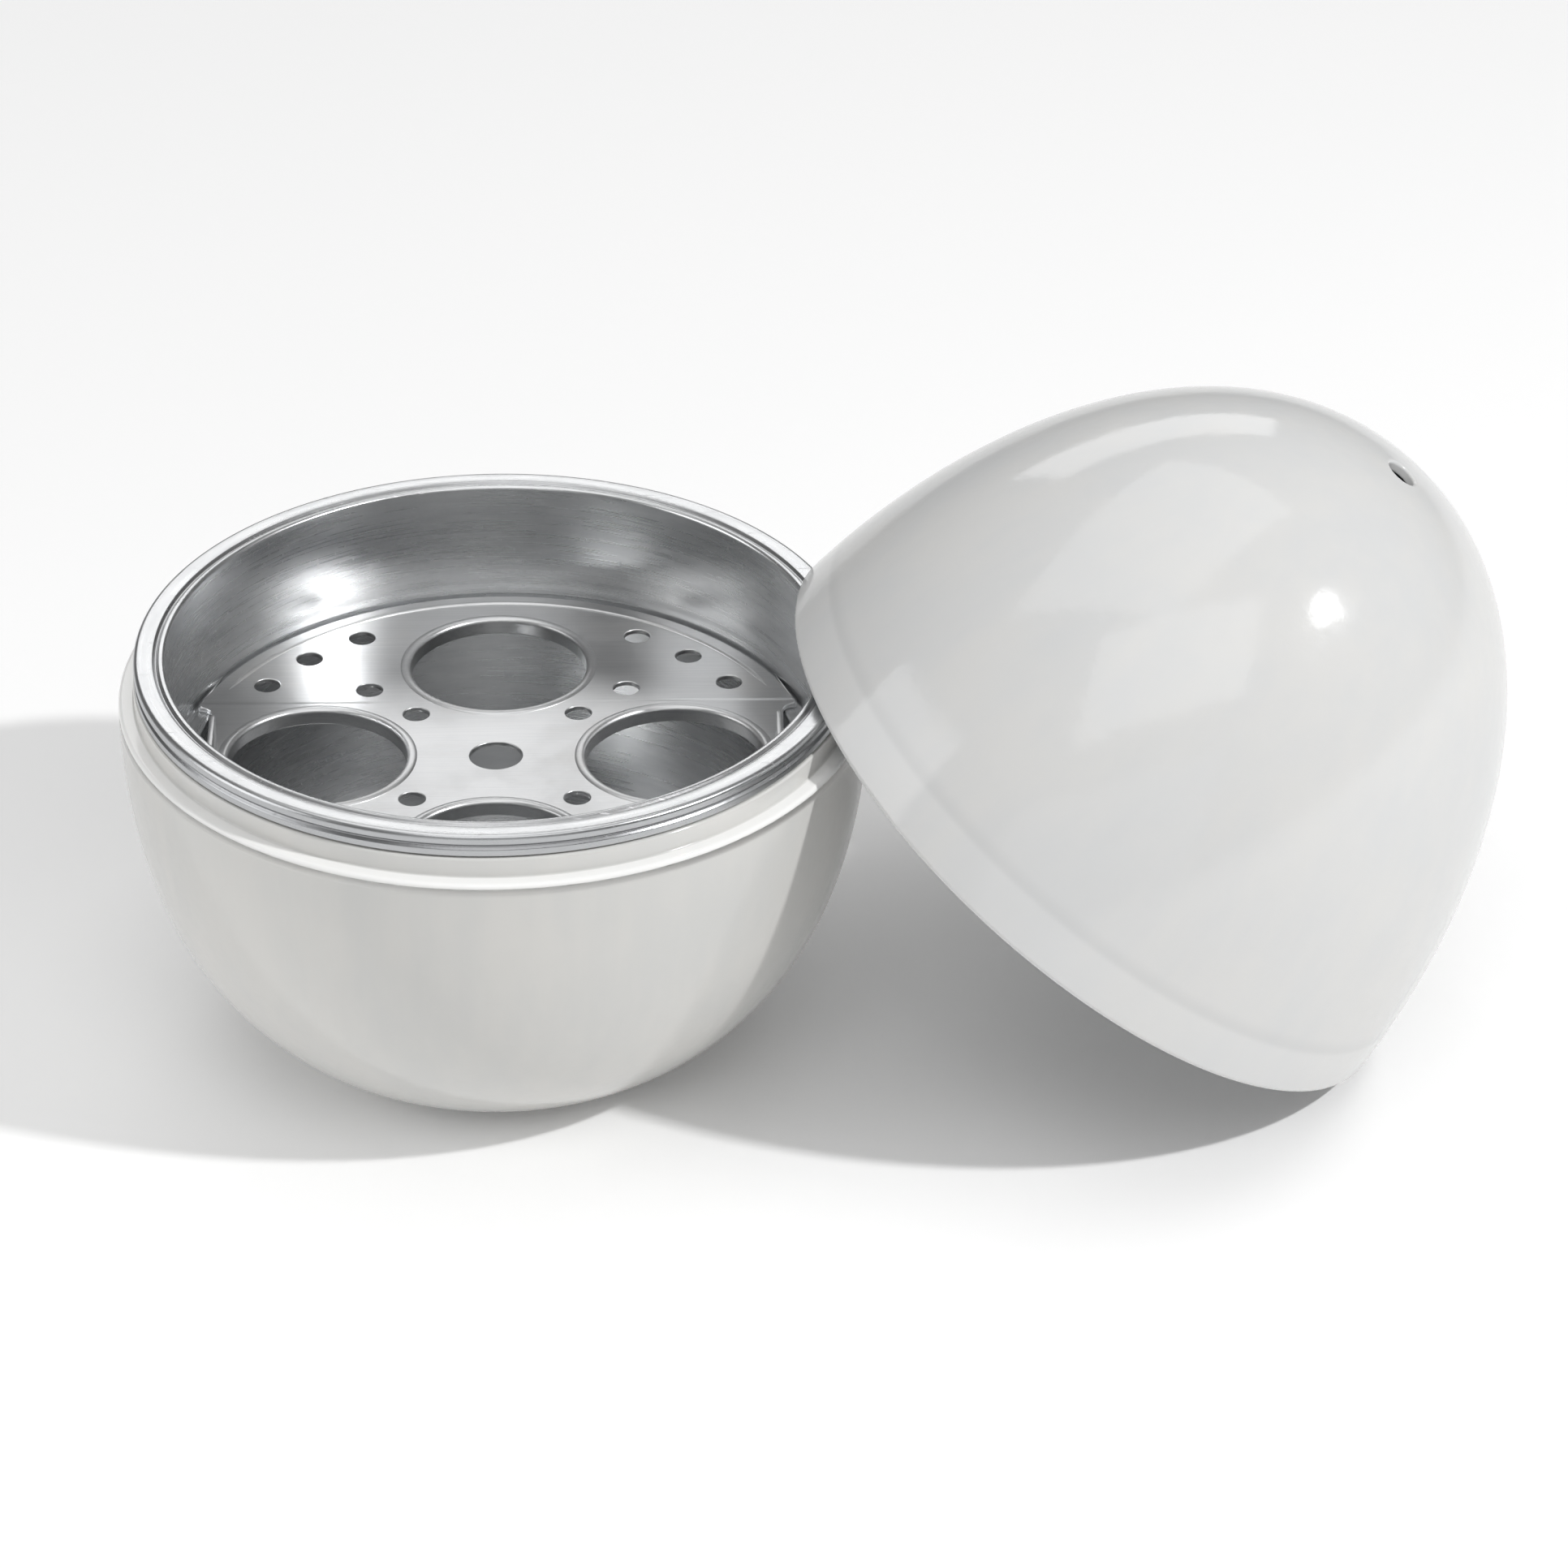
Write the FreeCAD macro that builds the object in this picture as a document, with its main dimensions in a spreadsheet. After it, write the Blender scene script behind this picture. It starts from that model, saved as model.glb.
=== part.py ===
import FreeCAD, Part
import os
import Sketcher

V = FreeCAD.Vector

# Driving dimensions: millimetres and degrees. Radii are measured from the axis of the piece.
DIMENSIONS = {
    # both shells
    "shell_radius": 71.0,
    "wall": 2.0,
    # bowl shell: an egg-shaped side from the foot up to the seam
    "seam_height": 73.3,
    "side_drop": 30.1,
    "belly_tuck": 9.1,
    "belly_height": 11.9,
    "foot_radius": 33.3,
    "edge_round": 0.9,
    # collar that stands inside the lid above the seam
    "collar_play": 0.9,
    "collar_height": 3.9,
    "collar_depth": 3.0,
    # aluminium bowl liner and its rolled rim
    "sheet": 0.8,
    "rim_height": 8.6,
    "rim_play": 1.1,
    "rim_width": 5.9,
    "rim_round": 0.9,
    "rim_gap": 0.2,
    "skirt_gap": 0.3,
    "groove_round": 0.8,
    "groove_width": 1.1,
    "top_groove_inset": 1.7,
    "side_groove_drop": 2.4,
    "ledge_height": 57.0,
    "ledge_width": 3.8,
    "ledge_draft": 0.7,
    "well_rise": 16.3,
    "well_spread": 7.56,
    "well_floor_margin": 8.3,
    # egg rack
    "rack_play": 0.8,
    "rack_sheet": 1.0,
    "egg_hole_radius": 17.0,
    "egg_ring_radius": 34.0,
    "hole_collar_depth": 2.0,
    "notch_web": 2.5,
    "notch_half_width": 18.5,
    "tab_half_width": 8.0,
    "tab_height": 6.0,
    "centre_hole_radius": 5.0,
    "steam_hole_radius": 2.5,
    "steam_inner_ring": 22.0,
    "steam_middle_ring": 35.0,
    "steam_outer_ring": 52.0,
    "steam_spread": 14.0,
    # lid shell: a dome with its rim plane at zero
    "lid_height": 94.4,
    "skirt_taper": 4.4,
    "skirt_pull": 49.1,
    "crown_reach": 40.9,
    "vent_radius": 3.0,
    # bead on the inside of the lid, and the lid liner that stands on it
    "bead_clearance": 0.5,
    "bead_width": 1.4,
    "bead_root": 0.9,
    "lid_liner_gap": 1.2,
    "flange_play": 0.4,
    "vent_margin": 1.5,
    # the lid leaning on the bowl's rim, with the low point of its own rim on the table
    "lean_turn": 21.8,
    "lean_gap": 0.4,
}

# Places that several pieces share, as expressions on the sheet
INNER = "(Size.shell_radius - Size.wall)"
BELLY = "(Size.shell_radius - Size.belly_tuck)"
RIM_TOP = "(Size.seam_height + Size.rim_height)"
RIM_UNDER = f"({RIM_TOP} - Size.sheet)"
RIM_OUTER = f"({INNER} - Size.rim_play)"
MOUTH = f"({RIM_OUTER} - Size.rim_width)"
COLLAR_OUTER = f"({INNER} - Size.collar_play)"
COLLAR_TOP = "(Size.seam_height + Size.collar_height)"
SEAT_OUTER = f"({RIM_OUTER} - Size.sheet - Size.rim_gap)"
COLLAR_INNER = f"({COLLAR_OUTER} - Size.collar_depth)"
LEDGE_OUTER = f"({MOUTH} - Size.ledge_draft)"
LEDGE_INNER = f"({LEDGE_OUTER} - Size.ledge_width)"
WELL_BULGE = f"(Size.foot_radius + sqrt(Size.well_spread * ({BELLY} - Size.foot_radius)))"
WELL_SIDE = "(Size.belly_height + Size.well_rise)"
WELL_FLOOR = "(Size.foot_radius - Size.well_floor_margin)"
NOTCH_NEAR = "(Size.egg_ring_radius + Size.egg_hole_radius + Size.rack_sheet + Size.notch_web)"
BEAD_UNDER = "(Size.rim_height + Size.bead_clearance)"
BEAD_TOP = f"({BEAD_UNDER} + Size.bead_width)"
TURN = "(Size.lean_turn * 1deg)"
LEAN = f"asin(({RIM_TOP} + Size.lean_gap) / (Size.shell_radius + {INNER} * cos({TURN})))"

doc = FreeCAD.newDocument("egg_cooker")


def make_sheet():
    """The spreadsheet of driving dimensions, one named cell each."""
    sheet = doc.addObject("Spreadsheet::Sheet", "Size")
    for row, (alias, value) in enumerate(DIMENSIONS.items(), start=1):
        sheet.set(f"A{row}", alias)
        sheet.set(f"B{row}", str(value))
        sheet.setAlias(f"B{row}", alias)
    doc.recompute()
    return sheet


def make_body(name):
    body = doc.addObject("PartDesign::Body", name)
    body.Label = name
    return body


def new_sketch(body, role, height=None):
    """An empty sketch on one of the body's own origin planes, lifted to height."""
    plane = next(item for item in body.Origin.OriginFeatures if item.Role == role)
    sketch = body.newObject("Sketcher::SketchObject", body.Name + "_outline")
    sketch.AttachmentSupport = [(plane, "")]
    sketch.MapMode = "FlatFace"
    if height is not None:
        sketch.setExpression("AttachmentOffset.Base.z", height)
    return sketch


def place_point(sketch, geometry, corner, across, up):
    """Bind one point of the sketch to a pair of expressions."""
    for kind, expression, axis in (("DistanceX", across, -2), ("DistanceY", up, -1)):
        if expression == "0":
            sketch.addConstraint(Sketcher.Constraint("PointOnObject", geometry, corner, axis))
            continue
        value = sketch.evalExpression(expression)
        constraint = Sketcher.Constraint(kind, -1, 1, geometry, corner, float(value))
        index = sketch.addConstraint(constraint)
        sketch.setExpression(f"Constraints[{index}]", expression)


def point(sketch, across, up):
    return V(float(sketch.evalExpression(across)), float(sketch.evalExpression(up)), 0)


def add_arc(sketch, start, end, radius, bulge):
    """An arc between two corners. bulge is 1 if it runs anticlockwise, or -1."""
    size = float(sketch.evalExpression(radius))
    chord = end - start
    height = (size * size - chord.Length ** 2 / 4) ** 0.5
    side = V(-chord.y, chord.x, 0).normalize()
    centre = start + chord / 2 + side * (height * bulge)
    circle = Part.Circle(centre, V(0, 0, 1), size)
    first, last = (start, end) if bulge > 0 else (end, start)
    arc = Part.ArcOfCircle(circle, circle.parameter(first), circle.parameter(last))
    geometry = sketch.addGeometry(arc)
    index = sketch.addConstraint(Sketcher.Constraint("Radius", geometry, size))
    sketch.setExpression(f"Constraints[{index}]", radius)
    return (geometry, 1, 2) if bulge > 0 else (geometry, 2, 1)


def add_curve(sketch, start, end, pulls):
    """A cubic curve between two corners, drawn towards two poles."""
    poles = [start, point(sketch, *pulls[0]), point(sketch, *pulls[1]), end]
    geometry = sketch.addGeometry(Part.BSplineCurve(poles, None, None, False, 3, None, False))
    for index, pole in enumerate(poles):
        mark = sketch.addGeometry(Part.Circle(pole, V(0, 0, 1), 1.0), True)
        sketch.addConstraint(Sketcher.Constraint("Weight", mark, 1.0))
        kind = "InternalAlignment:Sketcher::BSplineControlPoint"
        sketch.addConstraint(Sketcher.Constraint(kind, mark, 3, geometry, index))
        if index in (1, 2):
            place_point(sketch, mark, 3, *pulls[index - 1])
    return geometry, 1, 2


def draw(sketch, outline):
    """A closed outline. Each entry is a corner, then how the edge leaves it.

    An edge is straight where the corner stands alone, an arc for ("arc", radius, bulge),
    and a curve for ("curve", pole, pole).
    """
    edges = []
    for number, (across, up, *shape) in enumerate(outline):
        following = outline[(number + 1) % len(outline)]
        start = point(sketch, across, up)
        end = point(sketch, following[0], following[1])
        if not shape:
            edge = (sketch.addGeometry(Part.LineSegment(start, end)), 1, 2)
        elif shape[0] == "arc":
            edge = add_arc(sketch, start, end, shape[1], shape[2])
        else:
            edge = add_curve(sketch, start, end, shape[1:])
        edges.append(edge)
    for number, (geometry, start, _) in enumerate(edges):
        before, _, last = edges[number - 1]
        sketch.addConstraint(Sketcher.Constraint("Coincident", before, last, geometry, start))
        place_point(sketch, geometry, start, outline[number][0], outline[number][1])


def draw_circle(sketch, across, up, radius):
    centre = point(sketch, across, up)
    size = float(sketch.evalExpression(radius))
    geometry = sketch.addGeometry(Part.Circle(centre, V(0, 0, 1), size))
    place_point(sketch, geometry, 3, across, up)
    index = sketch.addConstraint(Sketcher.Constraint("Radius", geometry, size))
    sketch.setExpression(f"Constraints[{index}]", radius)


def revolve(body, outline, kind="Revolution"):
    """Turn an outline (radius across, height up) about Z: a solid, or a Groove cut away."""
    sketch = new_sketch(body, "XZ_Plane")
    draw(sketch, outline)
    feature = body.newObject("PartDesign::" + kind, body.Name + "_turned")
    feature.Profile = sketch
    feature.ReferenceAxis = (sketch, ["V_Axis"])
    feature.Angle = 360
    doc.recompute()
    return feature


def extrude(body, kind, sketch, length, upward):
    """A pad or a pocket of the sketch, up or down from its plane."""
    feature = body.newObject("PartDesign::" + kind, sketch.Name + "_" + kind.lower())
    feature.Profile = sketch
    feature.setExpression("Length", length)
    feature.Reversed = (kind == "Pad") != upward
    doc.recompute()
    return feature


def repeat(body, features, count):
    """Repeat features evenly about the body's own Z axis."""
    pattern = body.newObject("PartDesign::PolarPattern", features[0].Name + "_ring")
    pattern.Originals = features
    axis = next(item for item in body.Origin.OriginFeatures if item.Role == "Z_Axis")
    pattern.Axis = (axis, [""])
    pattern.Angle = 360
    pattern.Occurrences = count
    body.Tip = pattern
    doc.recompute()
    return pattern


def bowl_shell():
    """White plastic bowl: flat foot, egg-shaped side, stepped seam and a collar for the lid."""
    body = make_body("bowl_shell")
    seam_inside = "(Size.seam_height - Size.wall)"
    revolve(body, [
        ("0", "0"),
        ("Size.foot_radius", "0", "curve",
         (BELLY, "Size.belly_height"),
         ("Size.shell_radius", "Size.seam_height - Size.edge_round - Size.side_drop")),
        ("Size.shell_radius", "Size.seam_height - Size.edge_round", "arc", "Size.edge_round", 1),
        ("Size.shell_radius - Size.edge_round", "Size.seam_height"),
        (COLLAR_OUTER, "Size.seam_height"),
        (COLLAR_OUTER, COLLAR_TOP),
        (SEAT_OUTER, COLLAR_TOP),
        (SEAT_OUTER, RIM_UNDER),
        (COLLAR_INNER, RIM_UNDER),
        (COLLAR_INNER, seam_inside),
        (INNER, seam_inside, "curve",
         (INNER, "Size.seam_height - Size.side_drop"),
         (f"{BELLY} - 0.9 * Size.wall", "Size.belly_height + 0.6 * Size.wall")),
        ("Size.foot_radius - 0.3 * Size.wall", "Size.wall"),
        ("0", "Size.wall"),
    ])
    return body


def bowl_liner():
    """Aluminium bowl: water well, ledge for the rack, and a rim rolled over the collar."""
    body = make_body("bowl_liner")
    top_groove = f"({MOUTH} + Size.top_groove_inset)"
    side_groove = f"({RIM_TOP} - Size.side_groove_drop)"
    skirt_end = f"({COLLAR_TOP} + Size.skirt_gap)"
    floor_top = "(Size.wall + Size.sheet)"
    well_top = "(Size.ledge_height - Size.sheet)"
    revolve(body, [
        ("0", floor_top),
        ("0", "Size.wall"),
        (WELL_FLOOR, "Size.wall", "curve",
         (f"{WELL_BULGE} + Size.sheet", "Size.wall"),
         (f"{LEDGE_INNER} + Size.sheet", WELL_SIDE)),
        (f"{LEDGE_INNER} + Size.sheet", well_top),
        (f"{LEDGE_OUTER} + Size.sheet", well_top),
        (f"{MOUTH} + Size.sheet", RIM_UNDER),
        (f"{RIM_OUTER} - Size.sheet", RIM_UNDER),
        (f"{RIM_OUTER} - Size.sheet", skirt_end),
        (RIM_OUTER, skirt_end),
        (RIM_OUTER, f"{side_groove} - Size.groove_width / 2", "arc", "Size.groove_round", -1),
        (RIM_OUTER, f"{side_groove} + Size.groove_width / 2"),
        (RIM_OUTER, f"{RIM_TOP} - Size.rim_round", "arc", "Size.rim_round", 1),
        (f"{RIM_OUTER} - Size.rim_round", RIM_TOP),
        (f"{top_groove} + Size.groove_width / 2", RIM_TOP, "arc", "Size.groove_round", -1),
        (f"{top_groove} - Size.groove_width / 2", RIM_TOP),
        (f"{MOUTH} + Size.sheet", RIM_TOP, "arc", "Size.sheet", 1),
        (MOUTH, RIM_UNDER),
        (LEDGE_OUTER, "Size.ledge_height"),
        (LEDGE_INNER, "Size.ledge_height", "curve",
         (LEDGE_INNER, f"{WELL_SIDE} + Size.sheet"),
         (WELL_BULGE, floor_top)),
        (WELL_FLOOR, floor_top),
    ])
    return body


def egg_rack():
    """Aluminium plate with four flanged egg holes, steam holes and two bent-up lifting tabs."""
    body = make_body("egg_rack")
    plate_top = "(Size.ledge_height + Size.rack_sheet)"
    plate = new_sketch(body, "XY_Plane", plate_top)
    draw_circle(plate, "0", "0", f"{LEDGE_OUTER} - Size.rack_play")
    extrude(body, "Pad", plate, "Size.rack_sheet", False)

    collar = new_sketch(body, "XY_Plane", plate_top)
    draw_circle(collar, "Size.egg_ring_radius", "0", "Size.egg_hole_radius + Size.rack_sheet")
    collar_pad = extrude(body, "Pad", collar, "Size.rack_sheet + Size.hole_collar_depth", False)
    repeat(body, [collar_pad], 4)

    hole = new_sketch(body, "XY_Plane", plate_top)
    draw_circle(hole, "Size.egg_ring_radius", "0", "Size.egg_hole_radius")
    for across, up in steam_holes():
        draw_circle(hole, across, up, "Size.steam_hole_radius")
    hole_cut = extrude(body, "Pocket", hole, "Size.rack_sheet + Size.hole_collar_depth", False)
    repeat(body, [hole_cut], 4)

    centre = new_sketch(body, "XY_Plane", plate_top)
    draw_circle(centre, "0", "0", "Size.centre_hole_radius")
    extrude(body, "Pocket", centre, "Size.rack_sheet", False)

    notch = new_sketch(body, "XY_Plane", plate_top)
    draw_rectangle(notch, NOTCH_NEAR, LEDGE_OUTER, "Size.notch_half_width")
    notch_cut = extrude(body, "Pocket", notch, "Size.rack_sheet", False)
    repeat(body, [notch_cut], 2)

    tab = new_sketch(body, "XY_Plane", "Size.ledge_height")
    draw_rectangle(tab, f"{NOTCH_NEAR} - Size.rack_sheet", NOTCH_NEAR, "Size.tab_half_width")
    tab_pad = extrude(body, "Pad", tab, "Size.rack_sheet + Size.tab_height", True)
    repeat(body, [tab_pad], 2)
    return body


def steam_holes():
    """Centres of the steam holes of one quarter of the rack, between two egg holes."""
    places = (("Size.steam_inner_ring", "45deg"), ("Size.steam_middle_ring", "45deg"),
              ("Size.steam_outer_ring", "(45deg - Size.steam_spread * 1deg)"),
              ("Size.steam_outer_ring", "45deg"),
              ("Size.steam_outer_ring", "(45deg + Size.steam_spread * 1deg)"))
    return [(f"{ring} * cos({turn})", f"{ring} * sin({turn})") for ring, turn in places]


def draw_rectangle(sketch, near, far, half_width):
    """A rectangle centred on the X axis, from near to far along it."""
    left, right = point(sketch, near, "0").x, point(sketch, far, "0").x
    half = float(sketch.evalExpression(half_width))
    corners = [V(left, -half, 0), V(right, -half, 0), V(right, half, 0), V(left, half, 0)]
    lines = [sketch.addGeometry(Part.LineSegment(corners[i], corners[(i + 1) % 4]))
             for i in range(4)]
    for number, line in enumerate(lines):
        sketch.addConstraint(Sketcher.Constraint("Coincident", lines[number - 1], 2, line, 1))
    for line in (lines[0], lines[2]):
        sketch.addConstraint(Sketcher.Constraint("Horizontal", line))
    sketch.addConstraint(Sketcher.Constraint("Vertical", lines[3]))
    sketch.addConstraint(Sketcher.Constraint("Symmetric", lines[1], 1, lines[1], 2, -1))
    place_point(sketch, lines[2], 1, far, half_width)
    index = sketch.addConstraint(Sketcher.Constraint("DistanceX", -1, 1, lines[3], 1, left))
    sketch.setExpression(f"Constraints[{index}]", near)


def lid_shell():
    """White plastic dome with a steam vent at its top and a bead that carries the liner."""
    body = make_body("lid_shell")
    revolve(body, [
        (INNER, "0"),
        ("Size.shell_radius", "0", "curve",
         ("Size.shell_radius - Size.skirt_taper", "Size.skirt_pull"),
         ("Size.crown_reach", "Size.lid_height")),
        ("0", "Size.lid_height"),
        ("0", "Size.lid_height - Size.wall", "curve",
         ("Size.crown_reach - 0.6 * Size.wall", "Size.lid_height - Size.wall"),
         (f"{INNER} - Size.skirt_taper", "Size.skirt_pull")),
    ])
    bead_outer = f"({inside_of_lid(BEAD_TOP)} + Size.bead_root)"
    bead_inner = f"({inside_of_lid(BEAD_TOP)} - Size.lid_liner_gap - Size.sheet)"
    revolve(body, [
        (bead_inner, f"{BEAD_UNDER} + Size.bead_width / 4"),
        (bead_outer, BEAD_UNDER),
        (bead_outer, BEAD_TOP),
        (bead_inner, BEAD_TOP),
    ])
    cut_vent(body, "Size.vent_radius")
    lean(body)
    return body


def lid_liner():
    """Aluminium dome inside the lid, with a small flange, standing on the lid's bead."""
    body = make_body("lid_liner")
    rim = f"({INNER} - Size.lid_liner_gap)"
    side = f"({rim} - Size.skirt_taper)"
    crown = "(Size.crown_reach - 0.6 * (Size.wall + Size.lid_liner_gap))"
    top = "(Size.lid_height - Size.wall - Size.lid_liner_gap)"
    revolve(body, [
        ("0", "0"),
        (rim, "0", "curve", (side, "Size.skirt_pull"), (crown, top)),
        ("0", top),
    ])
    below_bead = new_sketch(body, "XY_Plane", BEAD_TOP)
    draw_circle(below_bead, "0", "0", "Size.shell_radius")
    extrude(body, "Pocket", below_bead, BEAD_TOP, False)
    flange = new_sketch(body, "XY_Plane", BEAD_TOP)
    flange_top = f"({BEAD_TOP} + Size.sheet)"
    draw_circle(flange, "0", "0", f"{inside_of_lid(flange_top)} - Size.flange_play")
    extrude(body, "Pad", flange, "Size.sheet", True)
    revolve(body, [
        ("0", "0"),
        (f"{rim} - Size.sheet", "0", "curve",
         (f"{side} - Size.sheet", "Size.skirt_pull"),
         (f"{crown} - 0.6 * Size.sheet", f"{top} - Size.sheet")),
        ("0", f"{top} - Size.sheet"),
    ], "Groove")
    cut_vent(body, "Size.vent_radius + Size.vent_margin")
    lean(body)
    return body


def inside_of_lid(height):
    """Inner radius of the lid shell low on its skirt, from the cubic curve it is drawn with."""
    share = f"({height} / (3 * Size.skirt_pull))"
    crown = "(Size.crown_reach - 0.6 * Size.wall)"
    return (f"({INNER} - 3 * {share} * (1 - {share})^2 * Size.skirt_taper"
            f" - 3 * {share}^2 * (1 - {share}) * ({INNER} - {crown}) - {share}^3 * {INNER})")


def cut_vent(body, radius):
    """A round steam vent through the top of a dome."""
    before = body.Shape.Volume
    sketch = new_sketch(body, "XY_Plane", "Size.lid_height / 2")
    draw_circle(sketch, "0", "0", radius)
    extrude(body, "Pocket", sketch, "Size.lid_height", True)
    if body.Shape.Volume >= before:
        raise ValueError(body.Label + " has no vent")


def lean(body):
    """Tip a lid piece about Y so that its rim rests on the table and on the bowl's rim."""
    body.Placement = FreeCAD.Placement(V(0, 0, 0), FreeCAD.Rotation(V(0, 1, 0), 30))
    crest = f"({RIM_OUTER} - Size.rim_round)"
    touch = f"sqrt({crest}^2 - ({INNER} * sin({TURN}))^2)"
    body.setExpression("Placement.Rotation.Angle", LEAN)
    body.setExpression("Placement.Base.x", f"{INNER} * cos({LEAN}) * cos({TURN}) + {touch}")
    body.setExpression("Placement.Base.z", f"Size.shell_radius * sin({LEAN})")
    doc.recompute()


def write_parts(bodies):
    """Check every object and write each body's solid under its own name."""
    doc.recompute()
    for item in doc.Objects:
        if "Invalid" in item.State or "Error" in item.State:
            raise ValueError(item.Label + " did not compute")
    for body in bodies:
        if body.Shape.isNull() or not body.Shape.isValid():
            raise ValueError(body.Label + " has no valid shape")
    os.makedirs("parts", exist_ok=True)
    for body in bodies:
        body.Shape.exportStep("parts/" + body.Label + ".step")
        print(body.Label, len(body.Shape.Solids), round(body.Shape.Volume, 1))


make_sheet()
write_parts([bowl_shell(), bowl_liner(), egg_rack(), lid_shell(), lid_liner()])
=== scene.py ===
import math

import bmesh
import bpy
from mathutils import Matrix, Vector


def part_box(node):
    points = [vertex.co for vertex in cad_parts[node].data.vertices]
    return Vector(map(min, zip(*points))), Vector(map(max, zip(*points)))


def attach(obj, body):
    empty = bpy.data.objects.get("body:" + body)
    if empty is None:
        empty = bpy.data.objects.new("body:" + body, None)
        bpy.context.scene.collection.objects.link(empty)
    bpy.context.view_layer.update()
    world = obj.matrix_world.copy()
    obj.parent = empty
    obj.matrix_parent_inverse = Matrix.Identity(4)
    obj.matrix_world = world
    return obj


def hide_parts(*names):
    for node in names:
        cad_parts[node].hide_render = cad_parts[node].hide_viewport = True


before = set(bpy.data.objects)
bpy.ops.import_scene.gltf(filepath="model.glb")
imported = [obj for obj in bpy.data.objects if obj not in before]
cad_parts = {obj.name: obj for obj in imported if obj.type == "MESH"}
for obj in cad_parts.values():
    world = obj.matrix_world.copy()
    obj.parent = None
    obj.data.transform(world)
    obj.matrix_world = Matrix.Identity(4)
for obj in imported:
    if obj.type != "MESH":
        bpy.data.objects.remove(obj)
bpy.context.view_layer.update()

# Sizes in metres. Radii are measured from the axis of the piece.
MM = 0.001
shell_low, shell_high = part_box("bowl_shell")
liner_low, liner_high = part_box("bowl_liner")
rack_low, rack_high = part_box("egg_rack")

SHELL_RADIUS = shell_high.x
WALL = liner_low.z
INNER = SHELL_RADIUS - WALL
RIM_TOP = liner_high.z
RIM_UNDER = shell_high.z
RIM_OUTER = liner_high.x
SHEET = RIM_TOP - RIM_UNDER
RIM_ROUND = 0.9 * MM

# bowl shell
SEAM_HEIGHT = RIM_TOP - 8.6 * MM
SEAM_ROUND = 0.9 * MM
SIDE_DROP = 30.1 * MM
BELLY_RADIUS = 61.9 * MM
BELLY_HEIGHT = 11.9 * MM
FOOT_RADIUS = 33.3 * MM
FOOT_RING_WIDTH = 5.0 * MM
FOOT_RECESS = 0.7 * MM
GATE_RADIUS = 2.4 * MM
COLLAR_OUTER = INNER - 0.9 * MM
COLLAR_TOP = SEAM_HEIGHT + 3.9 * MM
COLLAR_INNER = COLLAR_OUTER - 3.0 * MM
SEAT_OUTER = RIM_OUTER - SHEET - 0.2 * MM

# bowl liner
MOUTH = RIM_OUTER - 5.9 * MM
SKIRT_END = COLLAR_TOP + 0.3 * MM
GROOVE_HALF = 0.6 * MM
GROOVE_DEPTH = 0.5 * MM
TOP_GROOVE = MOUTH + 1.7 * MM
SIDE_GROOVE = RIM_TOP - 2.4 * MM
BAND_CROWN = 0.12 * MM
LEDGE_HEIGHT = rack_low.z + 2.0 * MM
LEDGE_OUTER = MOUTH - 0.7 * MM
LEDGE_INNER = LEDGE_OUTER - 3.8 * MM
WELL_SIDE = BELLY_HEIGHT + 16.3 * MM
WELL_BULGE = 48.0 * MM
WELL_FLOOR = 25.0 * MM

# egg rack
RACK_SHEET = 1.0 * MM
RACK_RADIUS = rack_high.y
RACK_TOP = LEDGE_HEIGHT + RACK_SHEET
EGG_HOLE = 17.0 * MM
EGG_RING = 34.0 * MM
EGG_BEAD_WIDTH = 2.2 * MM
EGG_BEAD_RISE = 0.3 * MM
STEAM_HOLE = 2.5 * MM
CENTRE_HOLE = 5.0 * MM
STEAM_SPREAD = math.radians(14)
STEAM_PLACES = ((22 * MM, 0), (35 * MM, 0),
                (52 * MM, -STEAM_SPREAD), (52 * MM, 0), (52 * MM, STEAM_SPREAD))
NOTCH_NEAR = EGG_RING + EGG_HOLE + RACK_SHEET + 2.5 * MM
NOTCH_HALF = 18.5 * MM
NOTCH_ROUND = 2.5 * MM
TAB_HALF = 8.0 * MM
TAB_TOP = rack_high.z
TAB_ROUND = 3.0 * MM
RELIEF_WIDTH = 1.3 * MM
RELIEF_DEPTH = 1.2 * MM
EDGE_BREAK = 0.18 * MM
RIB_RADIUS = 57.7 * MM
RIB_THICKNESS = 0.65 * MM
RIB_RISE = 0.35 * MM
RIB_START = math.radians(25)

# lid
LID_HEIGHT = 94.4 * MM
SKIRT_TAPER = 4.4 * MM
SKIRT_PULL = 49.1 * MM
CROWN_REACH = 40.9 * MM
VENT_RADIUS = 3.0 * MM
LINER_VENT_RADIUS = VENT_RADIUS + 1.5 * MM
BEAD_UNDER = 9.1 * MM
BEAD_TOP = BEAD_UNDER + 1.4 * MM
LINER_GAP = 1.2 * MM
FLANGE_PLAY = 0.4 * MM
LID_OUTSIDE = ((SHELL_RADIUS, 0), (SHELL_RADIUS - SKIRT_TAPER, SKIRT_PULL),
               (CROWN_REACH, LID_HEIGHT), (0, LID_HEIGHT))
LID_INSIDE = ((0, LID_HEIGHT - WALL), (CROWN_REACH - 0.6 * WALL, LID_HEIGHT - WALL),
              (INNER - SKIRT_TAPER, SKIRT_PULL), (INNER, 0))

# lean of the lid on the bowl's rim
LEAN_TURN = math.radians(21.8)
LEAN_GAP = 0.4 * MM
LEAN = math.asin((RIM_TOP + LEAN_GAP) / (SHELL_RADIUS + INNER * math.cos(LEAN_TURN)))
LEAN_TOUCH = math.sqrt((RIM_OUTER - RIM_ROUND) ** 2 - (INNER * math.sin(LEAN_TURN)) ** 2)
LID_PLACE = Vector((INNER * math.cos(LEAN) * math.cos(LEAN_TURN) + LEAN_TOUCH, 0,
                    SHELL_RADIUS * math.sin(LEAN)))
LID_LEAN = Matrix.Translation(LID_PLACE) @ Matrix.Rotation(LEAN, 4, "Y")

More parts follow.
